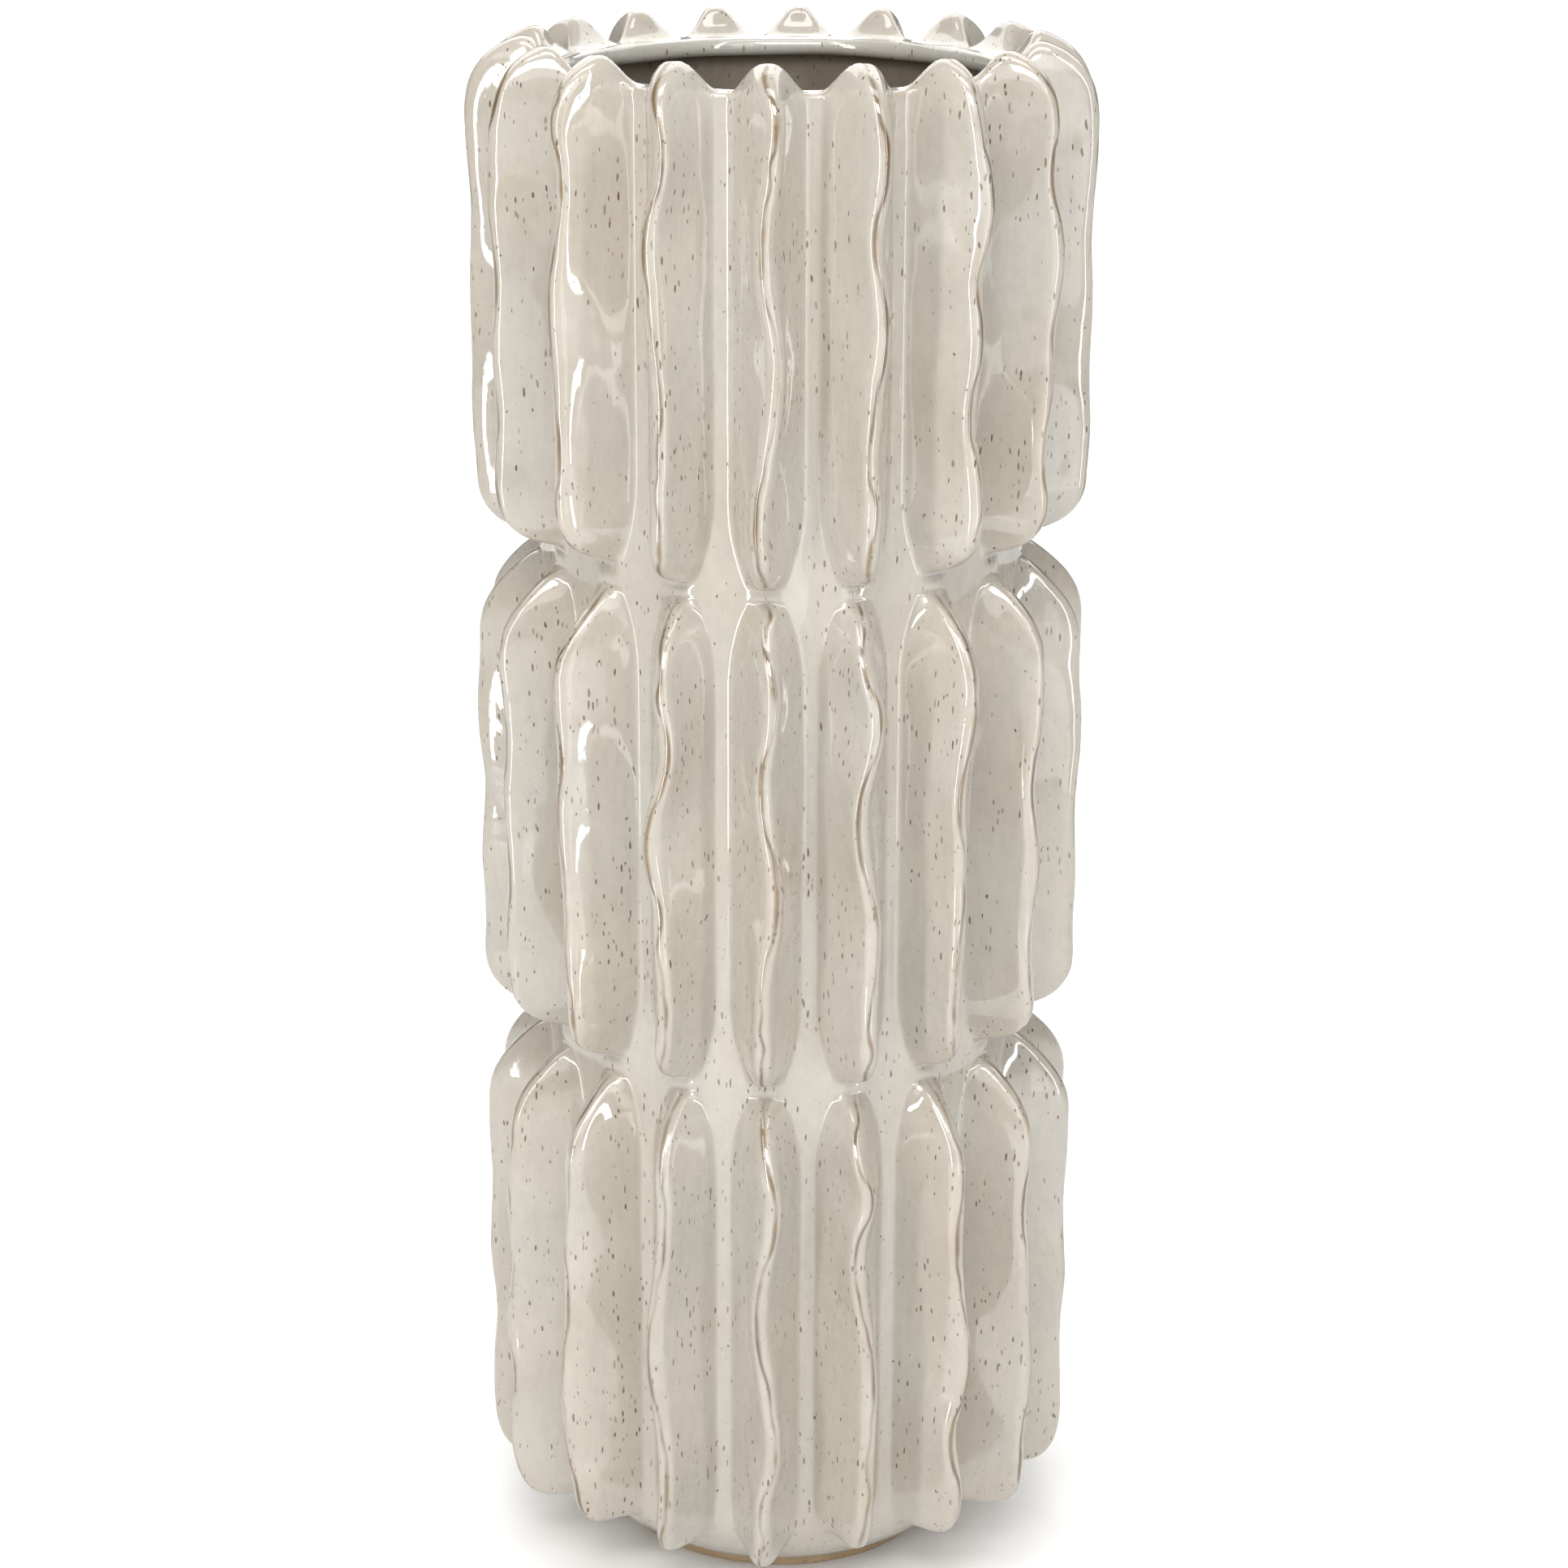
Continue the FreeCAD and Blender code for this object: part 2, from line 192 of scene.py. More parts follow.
def smooth_path(points, per_span=12):
    """A Catmull-Rom curve through points, as a fine polyline."""
    points = np.asarray(points, float)
    first = 2 * points[0] - points[1]
    last = 2 * points[-1] - points[-2]
    padded = np.vstack([first, points, last])
    t = np.linspace(0, 1, per_span, endpoint=False)[:, None]
    spans = []
    for a, b, c, d in zip(padded, padded[1:], padded[2:], padded[3:]):
        spans.append(0.5 * (2 * b + (c - a) * t + (2 * a - 5 * b + 4 * c - d) * t ** 2
                            + (3 * b - a - 3 * c + d) * t ** 3))
    return np.vstack(spans + [points[-1:]])


def bezier(start, corner, end, count=24):
    """A round corner between two points, drawn in towards corner."""
    t = np.linspace(0, 1, count)[:, None]
    start, corner, end = (np.asarray(point, float) for point in (start, corner, end))
    return (1 - t) ** 2 * start + 2 * t * (1 - t) * corner + t ** 2 * end


def ease(value):
    """A smooth rise from 0 to 1 as value goes from 0 to 1."""
    value = np.clip(value, 0, 1)
    return value * value * (3 - 2 * value)


def soften(values, rounds):
    """Values with short waves smoothed out, ends kept."""
    for _ in range(rounds):
        inner = 0.25 * values[:-2] + 0.5 * values[1:-1] + 0.25 * values[2:]
        values = np.concatenate([values[:1], inner, values[-1:]])
    return values


def outer_profile():
    """Outside of the vessel without its ribs, (radius, height) from the foot to the top of the lip."""
    belly = bezier(BELLY_FOOT, BELLY_CORNER, BELLY_TOP)
    upright = [(WALL_R, z) for z in np.arange(BELLY_TOP[1] + 1, LIP_TOP - LIP_CORNER, 1.0)]
    corner = bezier((WALL_R, LIP_TOP - LIP_CORNER), (WALL_R, LIP_TOP), (WALL_R - LIP_CORNER, LIP_TOP),
                    LIP_CORNER_POINTS)
    return np.vstack([belly, upright, corner, [(LIP_TILE_R, LIP_TOP)]])


PROFILE = outer_profile()
PROFILE_S = arc_lengths(PROFILE)
LIP_START_S = PROFILE_S[-1] - (WALL_R - LIP_CORNER - LIP_TILE_R)
BELOW_LIP = slice(0, -1 - LIP_CORNER_POINTS)    # the profile's points up to the lip's corner


def profile_at(s):
    """Points on the outer profile at distances s along it."""
    return np.column_stack([np.interp(s, PROFILE_S, values) for values in PROFILE.T])


def profile_s(z):
    """Distance along the outer profile at a height below the lip."""
    return np.interp(z, PROFILE[BELOW_LIP, 1], PROFILE_S[BELOW_LIP])


# ---- meshes -------------------------------------------------------------------------------------
def unit(vectors):
    """Vectors scaled to length one."""
    return vectors / np.maximum(np.linalg.norm(vectors, axis=-1, keepdims=True), 1e-12)


def around(radius, angle, height):
    """Points from radius, angle from the front towards +X, and height."""
    radius, angle, height = np.broadcast_arrays(radius, angle, height)
    return np.stack([radius * np.sin(angle), -radius * np.cos(angle), height], axis=-1)


def grid_faces(rows, columns, wrap):
    """Quads of a grid of points, row by row, closed round its columns if wrap."""
    i = np.arange(columns if wrap else columns - 1)
    j = np.arange(rows - 1)[:, None]
    step = (i + 1) % columns
    low, high = j * columns, (j + 1) * columns
    return np.stack([low + i, low + step, high + step, high + i], axis=-1).reshape(-1, 4)


def build_mesh(name, points, faces, normals, shown, attributes):
    """A closed mesh in metres. normals and attributes are per point; faces after the first shown are flat."""
    mesh = bpy.data.meshes.new(name)
    mesh.from_pydata((points * MM).tolist(), [], faces)
    mesh.update()
    for key, values in attributes.items():
        mesh.attributes.new(key, "FLOAT", "POINT").data.foreach_set("value", values.astype(np.float32))
    smooth = np.zeros(len(mesh.polygons), bool)
    smooth[:shown] = True
    mesh.polygons.foreach_set("use_smooth", smooth)
    corners = np.empty(len(mesh.loops), np.int32)
    mesh.loops.foreach_get("vertex_index", corners)
    totals = np.empty(len(mesh.polygons), np.int32)
    mesh.polygons.foreach_get("loop_total", totals)
    flat = np.empty(3 * len(mesh.polygons), np.float32)
    mesh.polygons.foreach_get("normal", flat)
    loop_normals = np.where(np.repeat(smooth, totals)[:, None], normals[corners],
                            np.repeat(flat.reshape(-1, 3), totals, axis=0))
    mesh.normals_split_custom_set(loop_normals.tolist())
    piece = bpy.data.objects.new(name, mesh)
    bpy.context.scene.collection.objects.link(piece)
    return piece


def finish_piece(piece, node, material):
    """Rides a piece on the one body and material, and hides its CAD node."""
    piece.data.materials.append(material)
    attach(piece, "root")
    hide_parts(node)


# ---- a rib's level sections ---------------------------------------------------------------------
def spline_weights(count, positions):
    """Weights of count control points at positions along a uniform cubic B-spline."""
    weights = np.zeros((len(positions), count))
    for row, position in enumerate(positions):
        start = min(int(math.floor(position)), count - 3)
        t = position - start
        weights[row, start - 1:start + 3] = ((1 - t) ** 3 / 6, (3 * t ** 3 - 6 * t ** 2 + 4) / 6,
                                             (-3 * t ** 3 + 3 * t ** 2 + 3 * t + 1) / 6, t ** 3 / 6)
    return weights


# A section is a spline over the controls of both halves. Its points are given by their place among the
# controls: from the crest, midway between the halves, to the valley, and closer together near the crest.
VALLEY_CONTROLS = 3             # one before the valley, one on it and one past it
HALF_CONTROLS = len(SECTION) + VALLEY_CONTROLS
HALF_POSITIONS = np.concatenate([np.arange(0, 1.5, 1 / 6), np.arange(1.5, HALF_CONTROLS - 1.49, 0.25)])
POSITIONS = HALF_CONTROLS - 0.5 + np.concatenate([-HALF_POSITIONS[:0:-1], HALF_POSITIONS])
WEIGHTS = spline_weights(2 * HALF_CONTROLS, POSITIONS)
CREST_COLUMN = POSITIONS.size // 2


def rounding(tier, front, base_s):
    """How far each row's section is turned from SECTION to ARCH."""
    toe = ease((base_s[0] + TOE_LENGTH - base_s) / TOE_BLEND)
    turned = (FOOT_TOE_ROUND if tier == "lower" else TOE_ROUND) * toe
    if tier == "upper":
        peak = ease((base_s - (LIP_START_S - PEAK_LENGTH)) / PEAK_BLEND)
        turned = np.maximum(turned, (FRONT_PEAK_ROUND if front else PEAK_ROUND) * peak)
    return turned


def level_sections(base, width, lean, turned):
    """Distance round the wall and share of the rib's height at each point, and the valleys' distance."""
    section, arch = np.array(SECTION), np.array(ARCH)
    turned = turned[:, None, None]
    shape = section * (1 - turned) + arch * turned
    valley = base[:, 0] * math.radians(RIB_PITCH / 2)
    reach = (VALLEY_SHARE * valley - CREST_ROUND) / (shape[:, -1, 0] - section[0, 0])
    half = CREST_ROUND + (shape[:, :, 0] - section[0, 0]) * np.minimum(width, reach)[:, None]
    between = 0.5 * (half[:, -1] + valley)
    half = np.column_stack([half, between, valley, 2 * valley - between])
    rise = np.column_stack([shape[:, :, 1], np.zeros((len(base), VALLEY_CONTROLS))])
    side = np.column_stack([-half[:, ::-1], half])
    rise = np.column_stack([rise[:, ::-1], rise])
    side += lean[:, None] * rise ** LEAN_POWER
    return side @ WEIGHTS.T, rise @ WEIGHTS.T, valley


# ---- a rib's rows -------------------------------------------------------------------------------
def crest_line(node, angle):
    """Height, sideways place and radius of a CAD rib's crest, read off the edges of its mesh."""
    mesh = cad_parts[node].data
    points = np.empty(3 * len(mesh.vertices), np.float32)
    mesh.vertices.foreach_get("co", points)
    points = points.reshape(-1, 3).astype(float) / MM
    edges = np.empty(2 * len(mesh.edges), np.int32)
    mesh.edges.foreach_get("vertices", edges)
    starts, ends = points[edges[0::2]], points[edges[1::2]]
    outward = np.array([math.sin(angle), -math.cos(angle)])
    sideways = np.array([math.cos(angle), math.sin(angle)])
    found = []
    for z in np.arange(points[:, 2].min() + CUT_MARGINS[0], points[:, 2].max() - CUT_MARGINS[1], CUT_GAP):
        cut = (starts[:, 2] - z) * (ends[:, 2] - z) < 0
        a, b = starts[cut], ends[cut]
        hits = a + (b - a) * ((z - a[:, 2]) / (b[:, 2] - a[:, 2]))[:, None]
        radius = hits[:, :2] @ outward
        crest = radius > radius.max() - CREST_DEPTH
        found.append((z, (hits[crest][:, :2] @ sideways).mean(), radius.max()))
    return np.array(found)


def tile_ends(tier):
    """Distances along the outer profile where a tier's tiles start and end."""
    joints = [profile_s(SLAB_TOP), profile_s(TIER_JOINTS[0]), profile_s(TIER_JOINTS[1]), PROFILE_S[-1]]
    level = TIER_NAMES.index(tier)
    return joints[level], joints[level + 1]


def tile_rows(tier, low, high):
    """Distance along the profile and plain crest point of each row of a tile, from bottom to top, and
    the distances where its rib starts and ends."""
    lower_path = smooth_path(np.asarray(BOTTOM_END if tier == "lower" else BLUNT_END) + (0, low))
    upper_path = smooth_path(np.asarray(PEAK_END if tier == "upper" else TOP_END) + (0, high))
    first_s, last_s = tile_ends(tier)
    rib_start, full_start = profile_s(lower_path[[0, -1], 1])
    full_end = profile_s(upper_path[0, 1])
    rib_end = last_s if tier == "upper" else profile_s(upper_path[-1, 1])

    stretches = []
    if rib_start > first_s + LEAST_PLAIN:
        count = max(2, int((rib_start - first_s) / PLAIN_ROW_GAP))
        plain = np.linspace(first_s, rib_start, count, endpoint=False)
        stretches.append((plain, profile_at(plain)))
    shares = np.linspace(0, 1, LOWER_END_ROWS, endpoint=False)
    stretches.append((rib_start + (full_start - rib_start) * shares, along(lower_path, shares)))
    full = np.linspace(full_start, full_end, int((full_end - full_start) / ROW_GAP), endpoint=False)
    stretches.append((full, np.column_stack([np.full(full.size, CREST_R), profile_at(full)[:, 1]])))
    shares = np.linspace(0, 1, PEAK_ROWS if tier == "upper" else UPPER_END_ROWS)
    stretches.append((full_end + (rib_end - full_end) * shares, along(upper_path, shares)))
    if last_s > rib_end + LEAST_PLAIN:
        plain = np.linspace(rib_end, last_s, 3)[1:]
        stretches.append((plain, profile_at(plain)))
    base_s = np.concatenate([distances for distances, _ in stretches])
    crest = np.vstack([points for _, points in stretches])
    return base_s, crest, rib_start, rib_end


def rib_widths(tier, base_s, rib_start, rib_end):
    """Half width of the rib at each row, drawn in at its ends; the upper ribs run on to the lip."""
    def drawn_in(distance, powers):
        inward = np.clip(1 - distance / END_LENGTH, 0, 1)
        width = HALF_WIDTH * (1 - inward ** powers[0]) ** powers[1]
        return np.sqrt(width ** 2 + END_HALF_WIDTH ** 2 * (1 - (width / HALF_WIDTH) ** 2))

    width = drawn_in(base_s - rib_start - LOWER_GAP, FOOT_END if tier == "lower" else LOWER_END)
    if tier != "upper":
        width = np.minimum(width, drawn_in(rib_end - UPPER_GAP - base_s, UPPER_END))
    return width


def beside_joints(tier, base_s):
    """How far a tile's crest line and its wall stand out beside the joints with the next tiers."""
    joints = {"lower": base_s[-1:], "middle": base_s[[0, -1]], "upper": base_s[:1]}[tier]
    away = base_s[:, None] - joints
    lift = (SADDLE * np.exp(-(away / SADDLE_REACH) ** 2)).max(axis=1)
    swell = (SWELL * np.exp(-(away / SWELL_REACH) ** 2)).sum(axis=1)
    return lift, swell


# ---- a rib's tile -------------------------------------------------------------------------------
def tile_normals(points, wall_up, wall_out):
    """Normals of a tile's points. Along its edges they are the wall's own, so that tiles join smoothly."""
    across = np.gradient(points, axis=1)
    upward = np.gradient(points, axis=0)
    upward[[0, -1]] = wall_up[[0, -1]]
    normals = unit(np.cross(across, upward))
    normals[:, [0, -1]] = wall_out[:, [0, -1]]
    return normals


def clay_waves(tier, number, along_rib, round_rib):
    """Height of the shallow waves in hand-pressed clay, different on each rib."""
    random = np.random.default_rng(1000 * TIER_NAMES.index(tier) + number)
    height = 0.0
    for length, size in WAVES:
        phase = random.uniform(0, TAU, 2)
        rising = np.sin(TAU * along_rib / length + phase[0] + WAVE_SLANT * round_rib)
        turning = np.sin(TAU * round_rib / (WAVE_WIDTH * length) + phase[1])
        height = height + size * rising * turning
    return height


def glaze_marks(tier, points, base_s, side, rise, lean, share):
    """How much the glaze breaks, wears to brown and runs thin at each point of a tile."""
    bend = soften(np.gradient(np.gradient(lean, base_s), base_s), BEND_ROUNDS)
    strength = soften(np.clip(np.abs(bend) / FULL_BEND, 0, 1), STRENGTH_ROUNDS)
    at_ends = (1 - np.clip(1.6 * share, 0, 1)) * (share > 0.02)
    strength = np.maximum(strength, END_BREAK * at_ends)[:, None]
    offset = soften(BREAK_OFFSET * np.clip(bend / CREST_BEND, -1, 1), OFFSET_ROUNDS)[:, None]
    crest = slice(CREST_COLUMN, CREST_COLUMN + 1)
    aside = np.linalg.norm(points - points[:, crest], axis=2) * np.sign(side - side[:, crest])
    on_crest = np.clip(6 * share - 0.15, 0, 1)[:, None]
    near = np.exp(-((aside + offset) / BREAK_WIDTH) ** 2) * on_crest
    edge = np.exp(-((aside + 1.5 * offset) / EDGE_WIDTH) ** 2) * on_crest
    thin = np.exp(-(aside / THIN_WIDTH) ** 2) * np.clip(4 * share, 0, 1)[:, None]
    if tier == "upper":
        lip_edge = np.exp(-((base_s - LIP_START_S + LIP_EDGE_DROP) / LIP_EDGE_WIDTH) ** 2)
        thin = np.maximum(thin, LIP_EDGE_THIN * lip_edge[:, None] * (1 - rise))
    return {"glaze_break": near * strength, "glaze_edge": edge, "glaze_thin": thin}


def tile_faces(rows, columns):
    """Faces of a closed tile and how many of them are skin. Two points per row, behind the skin's edges,
    come after the skin's own."""
    skin = grid_faces(rows, columns, False)
    count = rows * columns
    left = count + 2 * np.arange(rows)
    right = left + 1
    near_left = columns * np.arange(rows - 1)
    near_right = near_left + columns - 1
    right_side = np.column_stack([near_right, right[:-1], right[1:], near_right + columns])
    left_side = np.column_stack([near_left, near_left + columns, left[1:], left[:-1]])
    back = np.column_stack([left[:-1], left[1:], right[1:], right[:-1]])
    bottom = [*range(columns - 1, -1, -1), int(left[0]), int(right[0])]
    top = [*range(count - columns, count), int(right[-1]), int(left[-1])]
    return np.vstack([skin, right_side, left_side, back]).tolist() + [bottom, top], len(skin)


def rib_tile(tier, number):
    """One rib with its strip of wall on either side, standing for its CAD node."""
    node = "rib_%s_%02d" % (tier, number)
    place = number - 1 if number <= RIBS_PER_TIER - FRONT_PLACES else number - 1 - RIBS_PER_TIER
    angle = math.radians(FIRST_RIB_ANGLE + place * RIB_PITCH)
    low, high = box_mm(node)[0][2], box_mm(node)[1][2]
    base_s, crest, rib_start, rib_end = tile_rows(tier, low, high)
    base = profile_at(base_s)
    share = np.clip((crest[:, 0] - WALL_R) / CREST_HEIGHT, 0, 1)

    found = crest_line(node, angle)
    lean = np.interp(crest[:, 1], found[:, 0], soften(found[:, 1], 2)) * np.minimum(1, 3 * share)
    full = found[(found[:, 0] > low + FULL_FROM) & (found[:, 0] < high - FULL_TO)]
    crest[:, 0] += np.interp(crest[:, 1], full[:, 0], soften(full[:, 2], 2) - CREST_R) * share
    lift, swell = beside_joints(tier, base_s)
    crest[:, 0] = np.maximum(crest[:, 0], base[:, 0] + lift)

    width = rib_widths(tier, base_s, rib_start, rib_end)
    turned = rounding(tier, abs(place) <= FRONT_PLACES, base_s)
    side, rise, valley = level_sections(base, width, lean, turned)
    centre = base[:, None, :] + (crest - base)[:, None, :] * rise[:, :, None]
    bulge = 0.5 + 0.5 * np.cos(math.pi * np.clip(side / valley[:, None], -1, 1))
    centre[:, :, 0] += swell[:, None] * bulge * (1 - rise)
    theta = angle + side / centre[:, :, 0]
    points = around(centre[:, :, 0], theta, centre[:, :, 1])

    slope = unit(np.gradient(base, base_s, axis=0))
    wall_up = around(slope[:, None, 0], theta, slope[:, None, 1])
    wall_out = around(slope[:, None, 1], theta, -slope[:, None, 0])
    # The waves die out towards the valleys and the rib's ends.
    fade = np.clip(2.2 * rise, 0, 1) * np.minimum(1, 3 * share)[:, None]
    waves = clay_waves(tier, number, base_s[:, None], side) * fade
    points = points + tile_normals(points, wall_up, wall_out) * waves[:, :, None]
    normals = tile_normals(points, wall_up, wall_out)

    marks = glaze_marks(tier, points, base_s, side, rise, lean, share)
    hidden = np.zeros(2 * len(base))
    attributes = {name: np.concatenate([values.ravel(), hidden]) for name, values in marks.items()}
    edge_out = wall_out[:, [0, -1]]
    behind = points[:, [0, -1]] - SKIN * edge_out
    faces, shown = tile_faces(*side.shape)
    all_points = np.vstack([points.reshape(-1, 3), behind.reshape(-1, 3)])
    all_normals = np.vstack([normals.reshape(-1, 3), edge_out.reshape(-1, 3)])
    piece = build_mesh("skin_" + node, all_points, faces, all_normals, shown, attributes)
    finish_piece(piece, node, GLAZE)


# ---- wall, lip, slab and foot -------------------------------------------------------------------
def lathe(name, outline, segments, material, node, ripple=None):
    """A turned piece standing for its CAD node. The outline runs up the outside and down the inside of a
    ring, or from the axis round to the axis again."""
    outline = np.asarray(outline, float)
    ring = outline[0, 0] > 0
    rows = outline if ring else outline[1:-1]
    count = len(rows)
    angle = np.arange(segments) * TAU / segments
    radius, height = rows[:, :1], rows[:, 1:]
    if ripple is not None:
        radius, height = ripple(radius, height, angle)
    points = around(radius, angle, height)
    if ring:
        upward = np.roll(points, -1, axis=0) - np.roll(points, 1, axis=0)
        faces = (grid_faces(count + 1, segments, True) % (count * segments)).tolist()
    else:
        upward = np.gradient(points, axis=0)
        faces = grid_faces(count, segments, True).tolist()
    across = np.roll(points, -1, axis=1) - np.roll(points, 1, axis=1)
    normals = unit(np.cross(across, upward)).reshape(-1, 3)
    points = points.reshape(-1, 3)
    if not ring:
        first, last = count * segments, count * segments + 1
        points = np.vstack([points, [(0, 0, outline[0, 1]), (0, 0, outline[-1, 1])]])
        normals = np.vstack([normals, [(0, 0, -1), (0, 0, 1)]])
        near = np.arange(segments)
        far = np.roll(near, -1)
        top = (count - 1) * segments
        faces += np.column_stack([near, np.full(segments, first), far]).tolist()
        faces += np.column_stack([top + near, top + far, np.full(segments, last)]).tolist()
    unmarked = np.zeros(len(points))
    attributes = {"glaze_break": unmarked, "glaze_edge": unmarked, "glaze_thin": unmarked}
    piece = build_mesh(name, points, faces, normals, len(faces), attributes)
    finish_piece(piece, node, material)


def wall_piece():
    """The wall, whose inside shows a shallow flute behind each rib and faint rings."""
    inner_r = WALL_R - WALL_THICKNESS
    outer_r = WALL_R - BEHIND_SKIN
    outside = bezier(BELLY_FOOT, BELLY_CORNER, BELLY_TOP, 16)
    outside = outside[outside[:, 1] > SLAB_TOP + 0.2] - (BEHIND_SKIN, 0)
    outer = [(outer_r, z) for z in (60.0, 200.0, 340.0, WALL_TOP)]
    inner = [(inner_r, z) for z in np.arange(34, WALL_TOP, 4.0)]
    corner = bezier((43.0, SLAB_TOP), (inner_r, 16.0), (inner_r, 30.0), 16)
    outline = np.vstack([outside, outer, [(inner_r + 0.2, WALL_TOP)], inner[::-1], corner[::-1],
                         [(44.5, SLAB_TOP - 0.3)]])

    def ripple(radius, height, angle):
        inside = np.abs(radius - inner_r) < 0.3
        fade = np.clip((height - 20) / 40, 0, 1) * inside
        flute = 0.3 + 0.3 * np.cos(RIBS_PER_TIER * (angle - math.radians(FIRST_RIB_ANGLE)))
        ring = 0.08 * np.sin(height / 3.1 + 0.4 * np.sin(2 * angle))
        return radius + fade * (0.9 * flute ** 2 + ring), height

    # The inside is glazed in cream painted darker for the shade inside the vase.
    lathe("wall_inside", outline, 216, GLAZE_SHADED_INSIDE, "body_wall", ripple)


def lip_piece():
    """The coil on top of the wall: rolled inwards, with a soft edge over the inside."""
    outer_r = WALL_R - 0.4
    under = [(outer_r, WALL_TOP), (outer_r, LIP_TOP - 1.6), (WALL_R - 1.6, LIP_TOP - 0.5),
             (LIP_TILE_R + 1.5, LIP_TOP - 0.4)]
    outline = np.vstack([under, smooth_path(np.array(LIP_INSIDE) + (0, LIP_TOP), 5)])

    def ripple(radius, height, angle):
        bead = np.clip((LIP_TILE_R - radius) / 1.2, 0, 1)
        wander = 0.28 * np.sin(3 * angle + 0.7) + 0.18 * np.sin(7 * angle + 2.1) + 0.1 * np.sin(13 * angle)
        drop = 0.22 * np.sin(4 * angle + 1.9) + 0.14 * np.sin(9 * angle + 0.4)
        return radius + bead * wander, height + bead * drop * np.clip((LIP_TOP - height) / 3, 0, 1)

    lathe("lip_coil", outline, 288, GLAZE_LIP, "rim_ring", ripple)


def slab_piece():
    """The slab that closes the bottom, with the belly's glazed curve on its rim."""
    belly = bezier(BELLY_FOOT, BELLY_CORNER, BELLY_TOP, 40)
    belly = belly[belly[:, 1] < SLAB_TOP + 0.1]
    underside = [(radius, FOOT_H - 0.02) for radius in (0, 20, 34, 42.6)] + [(43.6, FOOT_H)]
    upside = [(belly[-1][0] - 0.5, SLAB_TOP + 0.3), (46.0, SLAB_TOP + 0.25), (43.0, SLAB_TOP),
              (30, SLAB_TOP - 0.1), (12, SLAB_TOP - 0.15), (0, SLAB_TOP - 0.15)]
    lathe("base_slab", np.vstack([underside, belly, upside]), 180, GLAZE, "floor_slab")


def foot_piece():
    """The bare ring of clay that the vase stands on, its edges worn round."""
    inner = FOOT_R - FOOT_WIDTH
    worn_edge = 0.9
    outline = np.vstack([[(inner + worn_edge, 0.0), (FOOT_R - 1.1, 0.0)],
                         bezier((FOOT_R - worn_edge, 0.0), (FOOT_R, 0.0), (FOOT_R, worn_edge), 6),
                         [(FOOT_R, FOOT_H - 0.1), (FOOT_R - 0.5, FOOT_H + 0.3)],
                         [(inner + 0.5, FOOT_H + 0.3), (inner, FOOT_H - 0.1)],
                         bezier((inner, worn_edge), (inner, 0.0), (inner + worn_edge, 0.0), 6)[:-1]])

    def ripple(radius, height, angle):
        worn = 0.12 * np.sin(5 * angle + 0.3) + 0.08 * np.sin(11 * angle + 1.2)
        return radius + worn * (height > 0.05) * (height < FOOT_H), height

    lathe("foot_clay", outline, 180, CLAY, "foot_ring", ripple)


# ---- materials ----------------------------------------------------------------------------------
class Tree:
    """Short calls for building a material's nodes."""

    def __init__(self, name):
        self.material = bpy.data.materials.new(name)
        self.material.use_nodes = True
        self.tree = self.material.node_tree
        self.shader = self.tree.nodes["Principled BSDF"]

    def put(self, socket, value):
        """Links a node's output to a socket, or sets the socket's own value."""
        if isinstance(value, bpy.types.NodeSocket):
            self.tree.links.new(value, socket)
        else:
            socket.default_value = value

    def node(self, kind, inputs=(), **settings):
        """A new node with its settings, and its inputs linked or set."""
        made = self.tree.nodes.new(kind)
        for key, value in settings.items():
            setattr(made, key, value)
        for key, value in dict(inputs).items():
            self.put(made.inputs[key], value)
        return made

    def math(self, operation, a, b):
        """The result of a sum or product of two values."""
        return self.node("ShaderNodeMath", {0: a, 1: b}, operation=operation).outputs[0]

    def stretch(self, scale):
        """Object coordinates in metres, scaled along each axis."""
        source = self.node("ShaderNodeTexCoord").outputs["Object"]
        return self.node("ShaderNodeMapping", {"Vector": source, "Scale": scale}).outputs[0]

    def noise(self, scale, detail=2.0, rough=0.5):
        """Noise whose waves per metre along each axis are given."""
        inputs = {"Vector": self.stretch(scale), "Scale": 1.0, "Detail": detail, "Roughness": rough}
        return self.node("ShaderNodeTexNoise", inputs).outputs["Fac"]

    def ramp(self, value, low, high, to_low=0.0, to_high=1.0):
        """value between low and high, mapped smoothly between to_low and to_high."""
        inputs = {"Value": value, "From Min": low, "From Max": high, "To Min": to_low, "To Max": to_high}
        return self.node("ShaderNodeMapRange", inputs, interpolation_type="SMOOTHSTEP").outputs[0]

    def mix(self, share, a, b, blend="MIX"):
        """Colour a with share of colour b mixed in."""
        made = self.node("ShaderNodeMix", data_type="RGBA", blend_type=blend)
        self.put(made.inputs[0], share)
        self.put(made.inputs[6], a)
        self.put(made.inputs[7], b)
        return made.outputs[2]

    def attribute(self, name):
        """One of the glaze marks that the mesh carries."""
        return self.node("ShaderNodeAttribute", attribute_name=name).outputs["Fac"]

    def bump(self, height, distance, strength=1.0, normal=None):
        """A normal bent by a height between 0 and distance metres."""
        inputs = {"Height": height, "Distance": distance, "Strength": strength}
        if normal is not None:
            inputs["Normal"] = normal
        return self.node("ShaderNodeBump", inputs).outputs[0]


